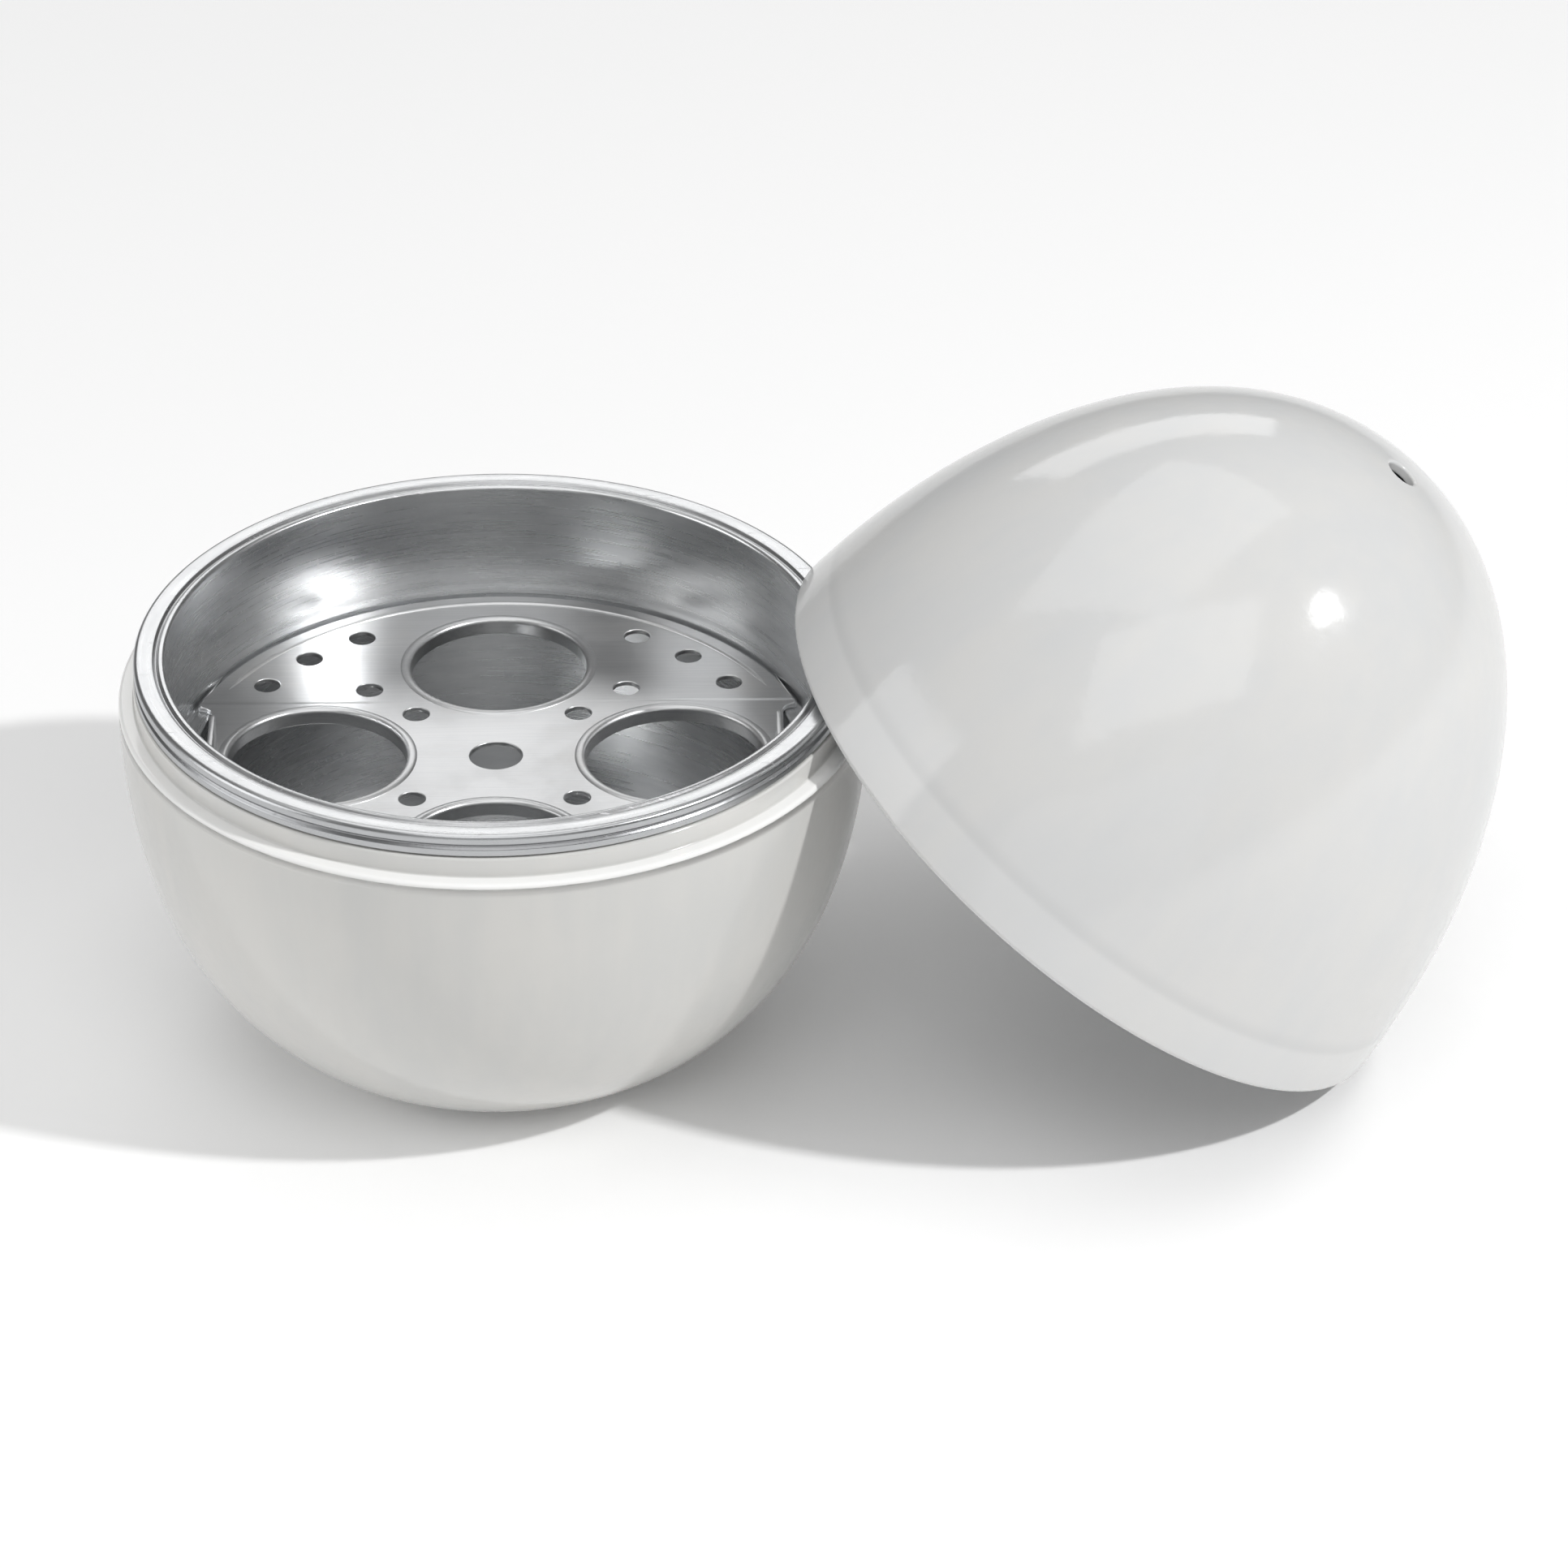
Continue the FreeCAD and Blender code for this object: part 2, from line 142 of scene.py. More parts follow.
# fineness of the meshes
TURN_STEPS = 240
ROUND_STEPS = 5
EDGE_HOLD = 0.12 * MM
MERGE = 0.001 * MM


def curve_point(poles, share):
    """The (radius, height) at a share of the way along a cubic curve with four poles."""
    rest = 1 - share
    weights = (rest ** 3, 3 * share * rest ** 2, 3 * share ** 2 * rest, share ** 3)
    return tuple(sum(weight * pole[axis] for weight, pole in zip(weights, poles))
                 for axis in (0, 1))


def along(poles, count, first=0.0, last=1.0):
    """Points along a cubic curve from one share of its way to another."""
    return [curve_point(poles, first + (last - first) * step / count) for step in range(count + 1)]


def share_at(poles, axis, value):
    """The share of a curve's way at which its radius (axis 0) or height (axis 1) has a value."""
    low, high = 0.0, 1.0
    rising = poles[3][axis] > poles[0][axis]
    for _ in range(40):
        middle = (low + high) / 2
        if (curve_point(poles, middle)[axis] < value) == rising:
            low = middle
        else:
            high = middle
    return low


def rounded(outline):
    """Points of a closed outline. A corner with a third value is rounded to that radius."""
    points = []
    for number, (across, up, *radius) in enumerate(outline):
        here = Vector((across, up))
        if not radius:
            points.append(here)
            continue
        before = (Vector(outline[number - 1][:2]) - here).normalized()
        after = (Vector(outline[(number + 1) % len(outline)][:2]) - here).normalized()
        half = before.angle(after) / 2
        reach = radius[0] / math.tan(half)
        centre = here + (before + after).normalized() * radius[0] / math.sin(half)
        first = here + before * reach - centre
        last = here + after * reach - centre
        start = math.atan2(first.y, first.x)
        turn = (math.atan2(last.y, last.x) - start + math.pi) % math.tau - math.pi
        points.append(here + before * (reach + EDGE_HOLD))
        for step in range(ROUND_STEPS + 1):
            angle = start + turn * step / ROUND_STEPS
            points.append(centre + Vector((math.cos(angle), math.sin(angle))) * radius[0])
        points.append(here + after * (reach + EDGE_HOLD))
    return points


def turned(outline, steps=TURN_STEPS):
    """A bmesh of a closed outline of radius and height, turned about the Z axis."""
    mesh = bmesh.new()
    verts = [mesh.verts.new((point[0], 0, point[1])) for point in rounded(outline)]
    edges = [mesh.edges.new((verts[number - 1], vert)) for number, vert in enumerate(verts)
             if vert.co.x > MERGE or verts[number - 1].co.x > MERGE]
    bmesh.ops.spin(mesh, geom=verts + edges, cent=(0, 0, 0), axis=(0, 0, 1), angle=math.tau,
                   steps=steps, use_merge=True)
    bmesh.ops.remove_doubles(mesh, verts=mesh.verts, dist=MERGE)
    bmesh.ops.recalc_face_normals(mesh, faces=mesh.faces)
    return mesh


def add_mesh(target, source, matrix=Matrix()):
    """Copy one bmesh into another, moved by a matrix."""
    data = bpy.data.meshes.new("part")
    bmesh.ops.transform(source, matrix=matrix, verts=source.verts)
    source.to_mesh(data)
    source.free()
    target.from_mesh(data)
    bpy.data.meshes.remove(data)


def finish_piece(name, mesh, material, body, node):
    """Make a bmesh an object that rides on a body and stands for a CAD node."""
    for face in mesh.faces:
        face.smooth = True
    data = bpy.data.meshes.new(name)
    mesh.to_mesh(data)
    mesh.free()
    data.materials.append(material)
    piece = bpy.data.objects.new(name, data)
    bpy.context.scene.collection.objects.link(piece)
    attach(piece, body)
    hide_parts(node)
    return piece


# ---------------------------------------------------------------- bowl

def bowl_body():
    """White moulded bowl: foot ring, egg-shaped side, stepped seam and the collar above it."""
    side_top = SEAM_HEIGHT - SEAM_ROUND
    side = ((FOOT_RADIUS, 0), (BELLY_RADIUS, BELLY_HEIGHT),
            (SHELL_RADIUS, side_top - SIDE_DROP), (SHELL_RADIUS, side_top))
    inside = ((INNER, SEAM_HEIGHT - WALL), (INNER, SEAM_HEIGHT - SIDE_DROP),
              (BELLY_RADIUS - 0.9 * WALL, BELLY_HEIGHT + 0.6 * WALL),
              (FOOT_RADIUS - 0.3 * WALL, WALL))
    foot_inner = FOOT_RADIUS - FOOT_RING_WIDTH
    outline = [
        (0, FOOT_RECESS / 3),
        (GATE_RADIUS, FOOT_RECESS / 3, 0.2 * MM),
        (GATE_RADIUS + FOOT_RECESS, FOOT_RECESS, 0.4 * MM),
        (foot_inner - FOOT_RECESS, FOOT_RECESS, 0.5 * MM),
        (foot_inner, 0, 0.4 * MM),
        (FOOT_RADIUS, 0, 1.6 * MM),
        *along(side, 46, first=share_at(side, 1, 1.2 * MM)),
        (SHELL_RADIUS, SEAM_HEIGHT, 0.8 * MM),
        (COLLAR_OUTER, SEAM_HEIGHT, 0.35 * MM),
        (COLLAR_OUTER, COLLAR_TOP, 0.5 * MM),
        (SEAT_OUTER, COLLAR_TOP, 0.1 * MM),
        (SEAT_OUTER, RIM_UNDER, 0.2 * MM),
        (COLLAR_INNER, RIM_UNDER, 0.2 * MM),
        (COLLAR_INNER, SEAM_HEIGHT - WALL),
        *along(inside, 24),
        (0, WALL),
    ]
    finish_piece("bowl_body", turned(outline), white_plastic("white_bowl_plastic"), "bowl",
                 "bowl_shell")


def bowl_lining():
    """Aluminium bowl: water well, ledge, and a rim curled over the collar by rolling, in two beads.
    """
    well = ((LEDGE_INNER, LEDGE_HEIGHT), (LEDGE_INNER, WELL_SIDE + SHEET),
            (WELL_BULGE, WALL + SHEET), (WELL_FLOOR, WALL + SHEET))
    under = ((WELL_FLOOR, WALL), (WELL_BULGE + SHEET, WALL),
             (LEDGE_INNER + SHEET, WELL_SIDE),
             (LEDGE_INNER + SHEET, LEDGE_HEIGHT - SHEET))
    band = (TOP_GROOVE + RIM_OUTER - RIM_ROUND) / 2
    outline = [
        (0, WALL),
        *along(under, 30),
        (LEDGE_OUTER + SHEET, LEDGE_HEIGHT - SHEET),
        (MOUTH + SHEET, RIM_UNDER),
        (RIM_OUTER - SHEET, RIM_UNDER),
        (RIM_OUTER - SHEET, SKIRT_END, 0.3 * MM),
        (RIM_OUTER, SKIRT_END, 0.35 * MM),
        *groove((RIM_OUTER, SIDE_GROOVE), (0, 1), (-1, 0)),
        (RIM_OUTER, RIM_TOP - BAND_CROWN, RIM_ROUND),
        (band, RIM_TOP),
        *groove((TOP_GROOVE, RIM_TOP - BAND_CROWN), (-1, 0), (0, -1)),
        (MOUTH, RIM_TOP, 0.7 * MM),
        (LEDGE_OUTER, LEDGE_HEIGHT, 0.6 * MM),
        (LEDGE_INNER, LEDGE_HEIGHT, 0.9 * MM),
        *along(well, 40, first=share_at(well, 1, LEDGE_HEIGHT - 2 * MM)),
        (0, WALL + SHEET),
    ]
    finish_piece("bowl_lining", turned(outline), spun_aluminium("bright_spun_aluminium"), "bowl",
                 "bowl_liner")


def groove(middle, way, inward):
    """Corners of a groove made by rolling, from the way the outline runs and the way it is pressed
    in.
    """
    middle, way, inward = Vector(middle), Vector(way), Vector(inward)
    return [
        (*(middle - way * GROOVE_HALF), 0.25 * MM),
        (*(middle + inward * GROOVE_DEPTH), 0.25 * MM),
        (*(middle + way * GROOVE_HALF), 0.25 * MM),
    ]


# ---------------------------------------------------------------- rack

def arc(radius, start, end, count, centre=(0, 0)):
    """Points of an arc from one angle to another about a centre."""
    angles = [start + (end - start) * step / count for step in range(count + 1)]
    return [(centre[0] + radius * math.cos(angle), centre[1] + radius * math.sin(angle))
            for angle in angles]


def plate_outline():
    """The rack's edge: a circle with a finger notch at each end of the X axis."""
    near = NOTCH_NEAR + EDGE_BREAK
    radius = RACK_RADIUS - EDGE_BREAK
    half = NOTCH_HALF + EDGE_BREAK
    corner = math.asin(half / radius)
    slot = TAB_HALF + RELIEF_WIDTH
    notch = [
        (radius * math.cos(corner), -half, 0.8 * MM),
        (near, -half, NOTCH_ROUND),
        (near, -slot, 0.2 * MM),
        (near - RELIEF_DEPTH, -slot, 0.4 * MM),
        (near - RELIEF_DEPTH, -TAB_HALF, 0.4 * MM),
        (near, -TAB_HALF, 0.2 * MM),
    ]
    mirrored = [(across, -up, *radius_of) for across, up, *radius_of in reversed(notch)]
    clear = 0.02  # radians kept free for the notch's rounded corner
    side = arc(radius, corner + clear, math.pi - corner - clear, 110)
    right = notch + mirrored
    left = [(-across, -up, *radius_of) for across, up, *radius_of in right]
    return rounded(right + side + left + [(-across, -up) for across, up in side])


def hole_outline(radius, centre=(0, 0), count=40):
    """The edge of a round hole, set back by the broken edge that the bevel adds."""
    return arc(radius + EDGE_BREAK, 0, math.tau * (count - 1) / count, count - 1, centre)


def flat_plate(outlines, thickness):
    """A bmesh of a flat sheet with holes and broken edges, its middle at height zero."""
    data = bpy.data.curves.new("plate", "CURVE")
    data.dimensions = "2D"
    data.fill_mode = "BOTH"
    data.extrude = thickness / 2 - EDGE_BREAK
    data.bevel_depth = EDGE_BREAK
    data.bevel_resolution = 1
    for points in outlines:
        spline = data.splines.new("POLY")
        spline.points.add(len(points) - 1)
        for place, point in zip(spline.points, points):
            place.co = (point[0], point[1], 0, 1)
        spline.use_cyclic_u = True
    mesh = curve_mesh(data)
    for edge in mesh.edges:
        flat = [abs(face.normal.z) > 0.999 for face in edge.link_faces]
        edge.smooth = all(flat) or not any(flat)
    return mesh


def curve_mesh(data):
    """A curve as a merged bmesh. The curve is removed."""
    holder = bpy.data.objects.new("holder", data)
    made = bpy.data.meshes.new_from_object(holder)
    mesh = bmesh.new()
    mesh.from_mesh(made)
    bpy.data.objects.remove(holder)
    bpy.data.curves.remove(data)
    bpy.data.meshes.remove(made)
    bmesh.ops.remove_doubles(mesh, verts=mesh.verts, dist=MERGE)
    bmesh.ops.recalc_face_normals(mesh, faces=mesh.faces)
    return mesh


def egg_hole_flange():
    """The drawn collar of an egg hole, with a raised bead where it leaves the plate."""
    foot = EGG_HOLE + EGG_BEAD_WIDTH
    outline = [
        (EGG_HOLE, rack_low.z, 0.25 * MM),
        (EGG_HOLE + RACK_SHEET, rack_low.z, 0.25 * MM),
        (EGG_HOLE + RACK_SHEET, LEDGE_HEIGHT, 0.4 * MM),
        (foot, LEDGE_HEIGHT + 0.2 * RACK_SHEET),
        (foot, RACK_TOP - EGG_BEAD_RISE / 3),
        (foot - 0.5 * MM, RACK_TOP + EGG_BEAD_RISE * 0.6),
        (foot - 1.0 * MM, RACK_TOP + EGG_BEAD_RISE),
        (EGG_HOLE, RACK_TOP + EGG_BEAD_RISE, 0.9 * MM),
    ]
    return turned(outline, 96)


def lifting_tab():
    """A tab bent up from the notch's edge, with rounded top corners and a bend at its foot."""
    outer = NOTCH_NEAR
    inner = outer - RACK_SHEET
    buried = 0.1 * MM
    outline = rounded([
        (inner - 1.0 * MM, LEDGE_HEIGHT + buried),
        (outer, LEDGE_HEIGHT + buried, 0.7 * MM),
        (outer, TAB_TOP),
        (inner, TAB_TOP),
        (inner, RACK_TOP - buried, 0.6 * MM),
        (inner - 1.0 * MM, RACK_TOP - buried),
    ])
    mesh = bmesh.new()
    face = mesh.faces.new([mesh.verts.new((across, -TAB_HALF, up)) for across, up in outline])
    grown = bmesh.ops.extrude_face_region(mesh, geom=[face])
    moved = [item for item in grown["geom"] if isinstance(item, bmesh.types.BMVert)]
    bmesh.ops.translate(mesh, verts=moved, vec=(0, 2 * TAB_HALF, 0))
    bmesh.ops.recalc_face_normals(mesh, faces=mesh.faces)
    corners = [edge for edge in mesh.edges
               if all(abs(vert.co.z - TAB_TOP) < MERGE for vert in edge.verts)
               and abs(edge.verts[0].co.y - edge.verts[1].co.y) < MERGE]
    bmesh.ops.bevel(mesh, geom=corners, offset=TAB_ROUND, affect="EDGES", segments=8, profile=0.5,
                    material=-1)
    sharp = [edge for edge in mesh.edges if edge.calc_face_angle(0) > 1.0]
    bmesh.ops.bevel(mesh, geom=sharp, offset=EDGE_BREAK, affect="EDGES", segments=2, profile=0.5,
                    material=-1)
    for edge in mesh.edges:
        edge.smooth = edge.calc_face_angle(0) < 0.6
    return mesh


def stiffening_rib():
    """A raised rib along the rack's edge between the notches, fading out at both ends."""
    data = bpy.data.curves.new("rib", "CURVE")
    data.dimensions = "3D"
    data.bevel_depth = RIB_THICKNESS
    data.bevel_resolution = 3
    data.use_fill_caps = True
    places = arc(RIB_RADIUS, RIB_START, math.pi - RIB_START, 96)
    spline = data.splines.new("POLY")
    spline.points.add(len(places) - 1)
    for number, (place, (across, up)) in enumerate(zip(spline.points, places)):
        fade = min(1, min(number, len(places) - 1 - number) / 5)
        place.co = (across, up, 0, 1)
        place.radius = 0.15 + 0.85 * math.sqrt(fade)
    return curve_mesh(data)


def egg_rack():
    """Pressed plate with four flanged egg holes, steam holes, notches, ribs and lifting tabs."""
    quarters = [math.pi / 2 * number for number in range(4)]
    holes = [hole_outline(CENTRE_HOLE)]
    for quarter in quarters:
        centre = (EGG_RING * math.cos(quarter), EGG_RING * math.sin(quarter))
        holes.append(hole_outline(EGG_HOLE + RACK_SHEET, centre, 96))
        for ring, spread in STEAM_PLACES:
            turn = quarter + math.pi / 4 + spread
            holes.append(hole_outline(STEAM_HOLE, (ring * math.cos(turn), ring * math.sin(turn))))
    mesh = bmesh.new()
    middle = Matrix.Translation((0, 0, RACK_TOP - RACK_SHEET / 2))
    add_mesh(mesh, flat_plate([plate_outline(), *holes], RACK_SHEET), middle)
    for quarter in quarters:
        turn = Matrix.Rotation(quarter, 4, "Z")
        add_mesh(mesh, egg_hole_flange(), turn @ Matrix.Translation((EGG_RING, 0, 0)))
    for turn in (Matrix(), Matrix.Rotation(math.pi, 4, "Z")):
        add_mesh(mesh, lifting_tab(), turn)
        lift = Matrix.Translation((0, 0, RACK_TOP + RIB_RISE - RIB_THICKNESS))
        add_mesh(mesh, stiffening_rib(), turn @ lift)
    finish_piece("rack", mesh, rolled_sheet("satin_rack_sheet"), "rack", "egg_rack")


# ---------------------------------------------------------------- lid

def lid_dome():
    """White moulded dome: rounded lip, bead that carries the liner, and a vent at its top."""
    above = share_at(LID_INSIDE, 1, BEAD_TOP)
    below = share_at(LID_INSIDE, 1, BEAD_UNDER)
    bead_inner = curve_point(LID_INSIDE, above)[0] - LINER_GAP - SHEET
    outline = [
        (INNER, 0, 0.6 * MM),
        (SHELL_RADIUS, 0, 0.9 * MM),
        *along(LID_OUTSIDE, 90, first=share_at(LID_OUTSIDE, 1, 2 * MM),
               last=share_at(LID_OUTSIDE, 0, 2 * VENT_RADIUS)),
        (VENT_RADIUS, LID_HEIGHT, 0.6 * MM),
        (VENT_RADIUS, LID_HEIGHT - WALL, 0.3 * MM),
        *along(LID_INSIDE, 60, first=share_at(LID_INSIDE, 0, 2 * VENT_RADIUS), last=above),
        (bead_inner, BEAD_TOP, 0.25 * MM),
        (bead_inner, BEAD_UNDER + (BEAD_TOP - BEAD_UNDER) / 4, 0.35 * MM),
        *along(LID_INSIDE, 6, first=below, last=share_at(LID_INSIDE, 1, 2 * MM)),
    ]
    mesh = turned(outline)
    bmesh.ops.transform(mesh, matrix=LID_LEAN, verts=mesh.verts)
    finish_piece("lid_dome", mesh, white_plastic("white_lid_plastic", lid=True), "lid",
                 "lid_shell")


def lid_lining():
    """Aluminium dome inside the lid, with a small flange that stands on the bead."""
    rim = INNER - LINER_GAP
    side = rim - SKIRT_TAPER
    crown = CROWN_REACH - 0.6 * (WALL + LINER_GAP)
    top = LID_HEIGHT - WALL - LINER_GAP
    outside = ((rim, 0), (side, SKIRT_PULL), (crown, top), (0, top))
    inside = ((0, top - SHEET), (crown - 0.6 * SHEET, top - SHEET), (side - SHEET, SKIRT_PULL),
              (rim - SHEET, 0))
    flange = curve_point(LID_INSIDE, share_at(LID_INSIDE, 1, BEAD_TOP + SHEET))[0] - FLANGE_PLAY
    start = share_at(outside, 1, BEAD_TOP + SHEET)
    foot = share_at(inside, 1, BEAD_TOP)
    clear = 0.012  # share of each curve kept free for the flange's rounded corner
    outline = [
        (*curve_point(inside, foot), 0.3 * MM),
        (flange, BEAD_TOP, 0.2 * MM),
        (flange, BEAD_TOP + SHEET, 0.2 * MM),
        (*curve_point(outside, start), 0.2 * MM),
        *along(outside, 60, first=start + clear, last=share_at(outside, 0, 2 * LINER_VENT_RADIUS)),
        (LINER_VENT_RADIUS, top, 0.3 * MM),
        (LINER_VENT_RADIUS, top - SHEET, 0.3 * MM),
        *along(inside, 60, first=share_at(inside, 0, 2 * LINER_VENT_RADIUS), last=foot - clear),
    ]
    mesh = turned(outline)
    bmesh.ops.transform(mesh, matrix=LID_LEAN, verts=mesh.verts)
    finish_piece("lid_lining", mesh, spun_aluminium("lid_spun_aluminium", lid=True), "lid",
                 "lid_liner")


# ---------------------------------------------------------------- materials

class Shade:
    """A number in a material. Python's operators on it add Math nodes."""

    def __init__(self, finish, socket):
        self.finish = finish
        self.socket = socket

    def maths(self, operation, first, second):
        return self.finish.node("ShaderNodeMath", {"operation": operation}, {0: first, 1: second})

    def __add__(self, other):
        return self.maths("ADD", self, other)

    def __radd__(self, other):
        return self.maths("ADD", other, self)

    def __sub__(self, other):
        return self.maths("SUBTRACT", self, other)

    def __rsub__(self, other):
        return self.maths("SUBTRACT", other, self)

    def __mul__(self, other):
        return self.maths("MULTIPLY", self, other)

    def __truediv__(self, other):
        return self.maths("DIVIDE", self, other)

    def __pow__(self, other):
        return self.maths("POWER", self, other)


class Finish:
    """A material built node by node around one Principled shader."""

    def __init__(self, name, **constants):
        self.material = bpy.data.materials.new(name)
        self.material.use_nodes = True
        self.tree = self.material.node_tree
        self.tree.nodes.clear()
        self.shader = self.tree.nodes.new("ShaderNodeBsdfPrincipled")
        output = self.tree.nodes.new("ShaderNodeOutputMaterial")
        self.tree.links.new(self.shader.outputs[0], output.inputs["Surface"])
        for socket, value in constants.items():
            self.shader.inputs[socket.replace("_", " ")].default_value = value

    def node(self, kind, settings=None, inputs=None, output=0):
        """Add a node with its settings and its sockets' values or links. Gives one output."""
        made = self.tree.nodes.new(kind)
        for key, value in (settings or {}).items():
            setattr(made, key, value)
        for key, value in (inputs or {}).items():
            self.feed(made.inputs[key], value)
        return Shade(self, made.outputs[output])

    def feed(self, socket, value):
        if isinstance(value, Shade):
            self.tree.links.new(value.socket, socket)
        else:
            socket.default_value = value

    def place(self, lid):
        """Object coordinates, turned back to stand on the lid's own axis for a piece of the lid."""
        here = self.node("ShaderNodeTexCoord", output="Object")
        if not lid:
            return here
        return self.node("ShaderNodeMapping", {"vector_type": "TEXTURE"},
                         {"Vector": here, "Location": LID_PLACE, "Rotation": (0, LEAN, 0)})

    def parts(self, vector):
        """The X, Y and Z of a vector."""
        split = self.node("ShaderNodeSeparateXYZ", inputs={"Vector": vector})
        return [Shade(self, socket) for socket in split.socket.node.outputs]

    def from_axis(self, vector):
        """How far a point is from the Z axis."""
        across, along_y, _ = self.parts(vector)
        return (across * across + along_y * along_y) ** 0.5

    def noise(self, vector, scale, detail=2.0, roughness=0.5):
        return self.node("ShaderNodeTexNoise", inputs={
            "Vector": vector, "Scale": scale, "Detail": detail, "Roughness": roughness})

    def spun(self, vector, round_scale, fine_scale, detail=2.0):
        """Noise drawn out into rings round the Z axis."""
        across, along_y, up = self.parts(vector)
        radius = self.from_axis(vector) + MERGE
        rings = self.node("ShaderNodeCombineXYZ", inputs={
            "X": across / radius * round_scale, "Y": along_y / radius * round_scale,
            "Z": radius * fine_scale})
        return self.node("ShaderNodeTexNoise", {"noise_dimensions": "4D"}, {
            "Vector": rings, "W": up * fine_scale, "Scale": 1.0, "Detail": detail})

    def stretched(self, vector, scales, detail=2.0):
        """Noise with a scale of its own along each axis."""
        drawn = self.node("ShaderNodeVectorMath", {"operation": "MULTIPLY"}, {0: vector, 1: scales})
        return self.noise(drawn, 1.0, detail)

    def ease(self, value, low, high):
        """0 up to low, 1 from high, with a soft step between."""
        return self.node("ShaderNodeMapRange", {"interpolation_type": "SMOOTHSTEP"},
                         {"Value": value, "From Min": low, "From Max": high})

    def near(self, value, middle, reach):
        """1 where a value is at the middle, falling to 0 at a reach either side."""
        rise = self.ease(value, middle - reach, middle)
        return rise * (1 - self.ease(value, middle, middle + reach))

    def mix(self, share, first, second):
        return self.node("ShaderNodeMix", {"data_type": "RGBA"}, {0: share, 6: first, 7: second}, 2)

    def bumps(self, *layers):
        """Normals raised by several layers of (height, depth in metres)."""
        normal = None
        for height, depth in layers:
            inputs = {"Height": height, "Distance": depth, "Strength": 1.0}
            if normal:
                inputs["Normal"] = normal
            normal = self.node("ShaderNodeBump", None, inputs)
        return normal

    def finish(self, **values):
        for socket, value in values.items():
            self.feed(self.shader.inputs[socket.replace("_", " ")], value)
        return self.material


def white_plastic(name, lid=False):
    """Glossy white plastic with faint flow lines, handling marks and an orange-peel skin, plus
    painted light: a painted glow on the lid's skirt, painted shade at the lid's bead and a painted
    highlight on the bowl's shelf.
    """
    cool = (0.625, 0.63, 0.63, 1) if lid else (0.60, 0.60, 0.585, 1)
    warm = (0.65, 0.648, 0.638, 1) if lid else (0.635, 0.628, 0.605, 1)
    painted_skirt_glow = (0.74, 0.745, 0.745, 1)
    shaded = (0.55, 0.555, 0.555, 1)
    painted_shelf_highlight = (0.93, 0.93, 0.92, 1)
    scuffed = (0.55, 0.545, 0.53, 1)
    finish = Finish(name, IOR=1.47, Subsurface_Weight=0.12 if lid else 0.06,
                    Subsurface_Radius=(1.0, 0.95, 0.9), Subsurface_Scale=2.0 * MM)
    place = finish.place(lid)
    height = finish.parts(place)[2]
    cloud = finish.noise(place, 28, 3)
    flow = finish.stretched(place, (160, 160, 14), 3)
    marks = finish.noise(place, 55, 6, 0.65)
    peel = finish.noise(place, 330, 2)
    grain = finish.noise(place, 2600, 2)
    tone = finish.mix(finish.ease(cloud * 0.6 + flow * 0.4, 0.35, 0.65), cool, warm)
    if lid:
        # Painted light: the skirt below the liner's bead is mixed towards a lighter colour, a
        # painted glow of light shining through the plastic; the bead itself gets painted shade.
        skirt = 1 - finish.ease(height, BEAD_UNDER - 0.4 * MM, BEAD_TOP + 0.6 * MM)
        over_bead = 1 - finish.ease(height, BEAD_TOP, BEAD_TOP + 3 * MM)
        bead = finish.ease(height, BEAD_UNDER, BEAD_TOP) * over_bead
        tone = finish.mix(skirt * 0.2, tone, painted_skirt_glow)
        tone = finish.mix(bead * 0.4, tone, shaded)
        worn = 1 - finish.ease(height, 0.3 * MM, 1.6 * MM)
    else:
        radius = finish.from_axis(place)
        # Painted highlight: the band just under the seam, and much more the shelf at the seam, are
        # lightened as a painted highlight.
        collar = finish.ease(height, SEAM_HEIGHT - 1.4 * MM, SEAM_HEIGHT - 0.3 * MM)
        shelf = collar * finish.ease(radius, COLLAR_OUTER, COLLAR_OUTER + 0.5 * MM)
        tone = finish.mix(collar * 0.12 + shelf * 0.75, tone, painted_shelf_highlight)
        worn = 1 - finish.ease(height, 0.2 * MM, 2.5 * MM)
    scuffs = worn * finish.ease(finish.noise(place, 900, 3), 0.42, 0.62)
    tone = finish.mix(scuffs * 0.25, tone, scuffed)
    rough = 0.10 + finish.ease(marks, 0.45, 0.75) * 0.08 + scuffs * 0.22
    return finish.finish(Base_Color=tone, Roughness=rough,
                         Normal=finish.bumps((peel, 0.035 * MM), (grain, 0.003 * MM)))


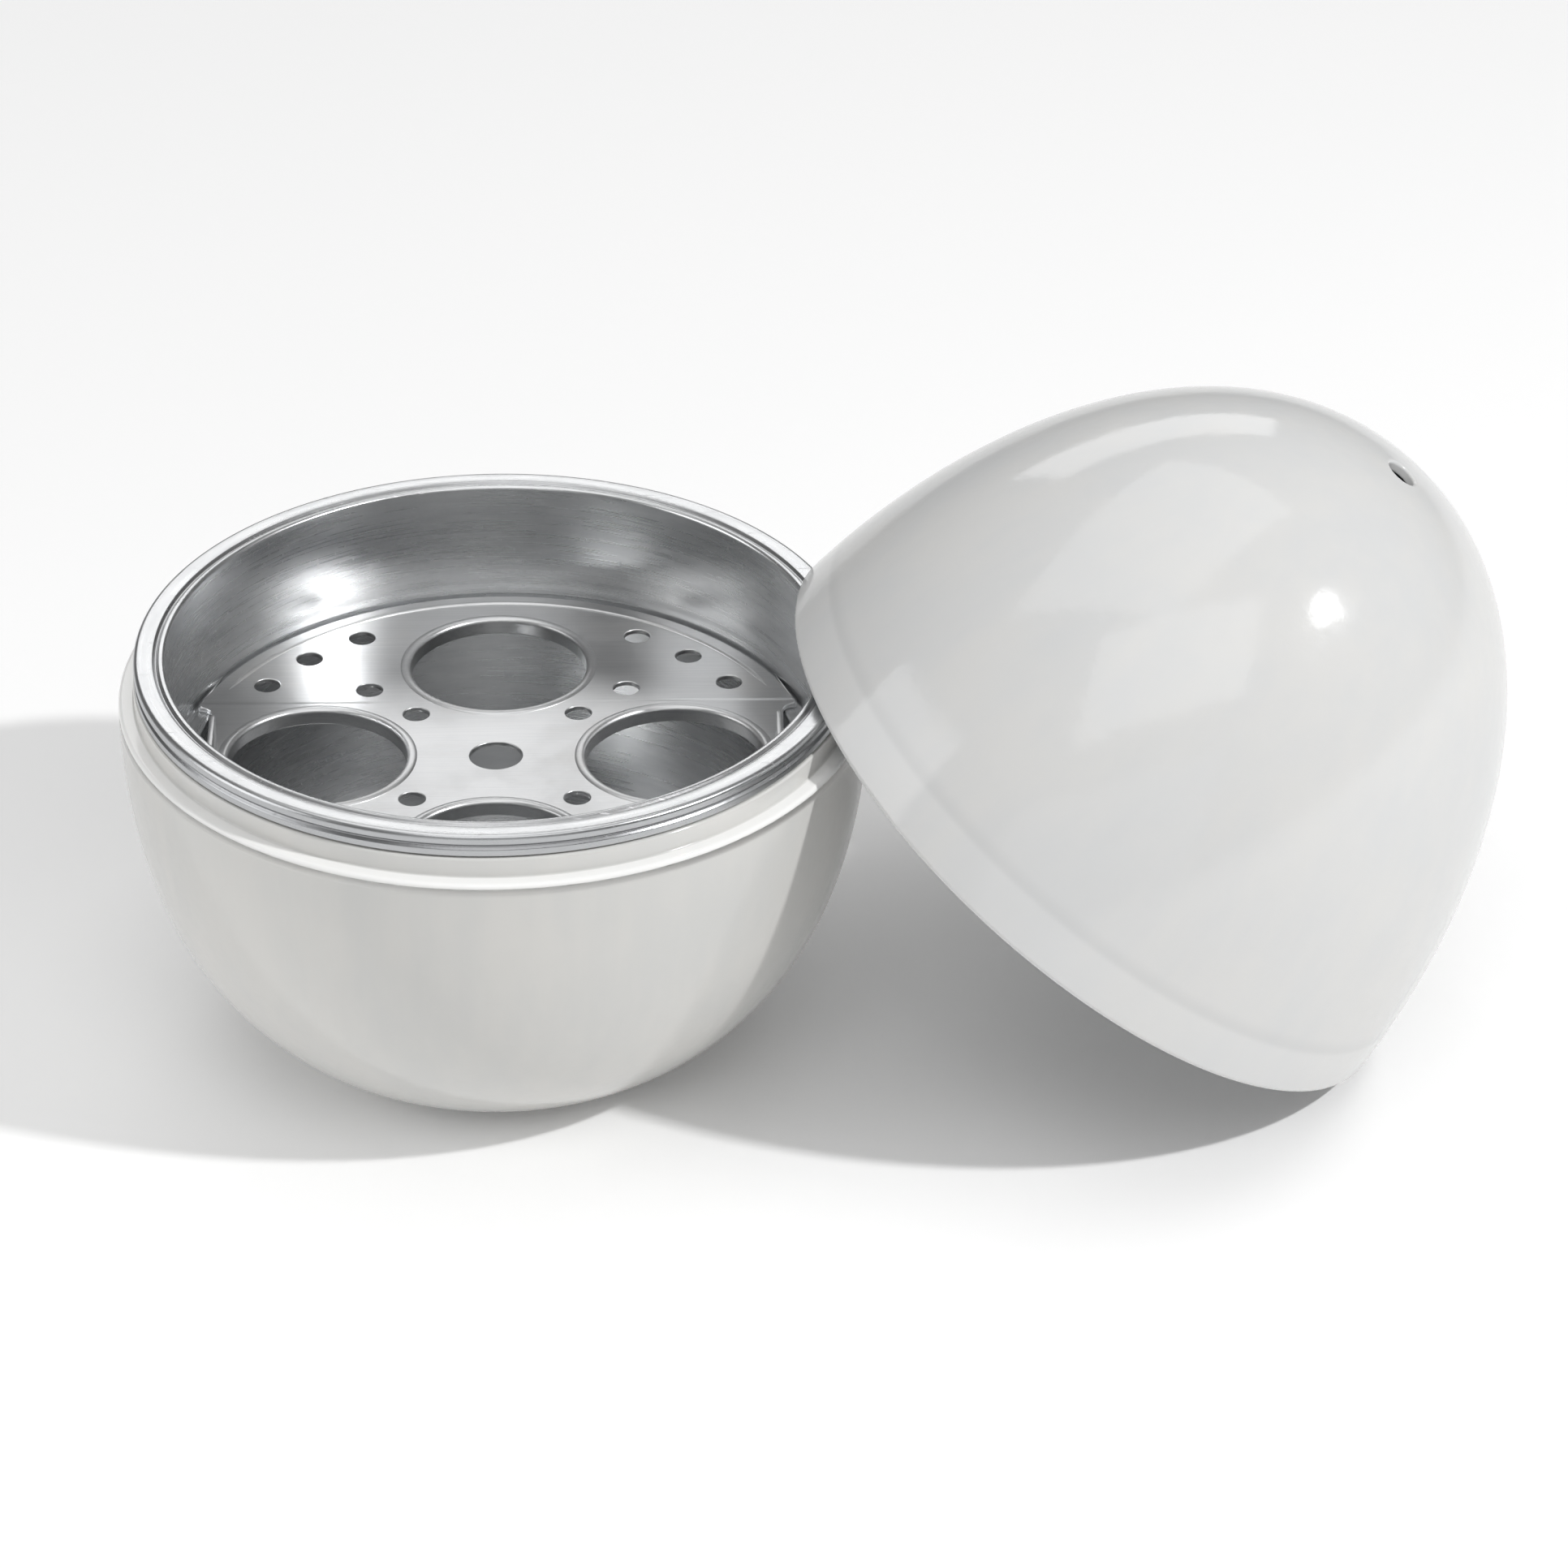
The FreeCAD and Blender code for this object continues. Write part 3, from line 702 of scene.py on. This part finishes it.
def spun_aluminium(name, lid=False):
    """Bright aluminium with spinning lines, a grained skin, light scratches and water marks; on the
    bowl's rim, painted shade on the outer side and in the two grooves.
    """
    dull = (0.56, 0.57, 0.58, 1)
    bright = (0.76, 0.765, 0.77, 1)
    stained = (0.72, 0.71, 0.68, 1)
    painted_rim_side_shade = (0.33, 0.34, 0.35, 1)
    painted_groove_shade = (0.12, 0.12, 0.13, 1)
    finish = Finish(name, Metallic=1.0)
    place = finish.place(lid)
    lines = finish.spun(place, 3.0, 2400, 3)
    streaks = finish.spun(place, 7.0, 700, 4)
    grain = finish.noise(place, 1300, 3, 0.6)
    cloud = finish.noise(place, 60, 4)
    scratch = finish.ease(finish.stretched(place, (150, 2200, 900), 2), 0.66, 0.7)
    tone = finish.mix(streaks, dull, bright)
    damp = finish.ease(cloud, 0.45, 0.7)
    if not lid:
        height = finish.parts(place)[2]
        radius = finish.from_axis(place)
        damp = damp * (1 - finish.ease(height, 18 * MM, 26 * MM))
        # Painted shade: the outer side of the rim is darkened as painted shade.
        side = finish.ease(radius, RIM_OUTER - RIM_ROUND, RIM_OUTER)
        on_rim = finish.ease(height, RIM_UNDER, RIM_TOP)
        # Painted shade: the rim's two grooves are darkened strongly as painted shade.
        top_groove = finish.near(radius, TOP_GROOVE, 0.9 * MM) * on_rim
        side_groove = finish.near(height, SIDE_GROOVE, 0.9 * MM) * side
        tone = finish.mix(damp * 0.35, tone, stained)
        tone = finish.mix(side * 0.6, tone, painted_rim_side_shade)
        tone = finish.mix((top_groove + side_groove) * 0.8, tone, painted_groove_shade)
    rough = 0.20 + lines * 0.10 + cloud * 0.06 + scratch * 0.12 + damp * 0.10
    return finish.finish(Base_Color=tone, Roughness=rough, Normal=finish.bumps(
        (lines, 0.010 * MM), (grain, 0.020 * MM), (streaks, 0.015 * MM)))


def rolled_sheet(name):
    """Satin pressed sheet with rolling grain along X, fine pits and fingermarks."""
    dull = (0.54, 0.55, 0.56, 1)
    bright = (0.70, 0.70, 0.70, 1)
    fingered = (0.62, 0.60, 0.57, 1)
    finish = Finish(name, Metallic=1.0)
    place = finish.place(False)
    rolling = finish.stretched(place, (60, 2600, 2600), 3)
    pits = finish.noise(place, 1800, 2)
    cloud = finish.noise(place, 45, 5, 0.6)
    tone = finish.mix(rolling, dull, bright)
    tone = finish.mix(finish.ease(cloud, 0.5, 0.75) * 0.3, tone, fingered)
    rough = 0.27 + rolling * 0.12 + finish.ease(cloud, 0.4, 0.7) * 0.08
    return finish.finish(Base_Color=tone, Roughness=rough, Normal=finish.bumps(
        (rolling, 0.010 * MM), (pits, 0.008 * MM)))


# ---------------------------------------------------------------- stage

def pale_floor():
    """A plain pale floor just under the foot."""
    mesh = bmesh.new()
    bmesh.ops.create_grid(mesh, x_segments=1, y_segments=1, size=6.0)
    bmesh.ops.translate(mesh, verts=mesh.verts, vec=(0, 0, -0.1 * MM))
    data = bpy.data.meshes.new("floor")
    mesh.to_mesh(data)
    mesh.free()
    finish = Finish("pale_floor", Base_Color=(0.94, 0.94, 0.94, 1), Roughness=0.9,
                    Emission_Color=(1, 1, 1, 1), Emission_Strength=0.07)
    data.materials.append(finish.material)
    floor = bpy.data.objects.new("floor", data)
    bpy.context.scene.collection.objects.link(floor)


def add_light(name, towards, distance, size, power, colour=(1, 1, 1)):
    """A soft square light that faces the object from a direction."""
    towards = Vector(towards).normalized()
    data = bpy.data.lights.new(name, "AREA")
    data.shape = "RECTANGLE"
    data.size, data.size_y = size
    data.energy = power
    data.color = colour
    light = bpy.data.objects.new(name, data)
    light.location = Vector((0.06, 0, 0.06)) + towards * distance
    light.rotation_euler = towards.to_track_quat("Z", "Y").to_euler()
    bpy.context.scene.collection.objects.link(light)


def studio():
    """Pale surroundings, a small key light at the right and soft panels all round."""
    world = bpy.data.worlds.new("studio")
    world.use_nodes = True
    world.node_tree.nodes["Background"].inputs["Color"].default_value = (1, 1, 1, 1)
    world.node_tree.nodes["Background"].inputs["Strength"].default_value = 0.16
    bpy.context.scene.world = world
    bpy.context.scene.view_settings.view_transform = "Standard"
    add_light("key", (0.66, -0.32, 0.68), 1.5, (0.075, 0.05), 13.4)
    add_light("left_panel", (-0.92, -0.15, 0.30), 1.5, (1.0, 1.0), 6.2)
    add_light("back_panel", (-0.06, 0.85, 0.53), 1.8, (1.2, 0.5), 3.4)
    add_light("top_panel", (-0.12, 0.1, 0.98), 1.6, (1.5, 1.3), 7.5)
    add_light("front_panel", (0.0, -0.62, 0.78), 1.6, (1.2, 0.8), 4.5)
    add_light("low_panel", (-0.1, -0.97, 0.20), 1.6, (1.4, 0.8), 1.6)


def camera():
    """A long lens from the front, looking down at the bowl's open mouth."""
    data = bpy.data.cameras.new("camera")
    data.sensor_width = 36
    data.lens = 180.6
    data.clip_end = 100
    eye = bpy.data.objects.new("camera", data)
    eye.location = (0.03535, -1.2806, 0.8332)
    eye.rotation_euler = (math.radians(90 - 31.41), 0, math.radians(-0.87))
    bpy.context.scene.collection.objects.link(eye)
    bpy.context.scene.camera = eye


bowl_body()
bowl_lining()
egg_rack()
lid_dome()
lid_lining()
pale_floor()
studio()
camera()
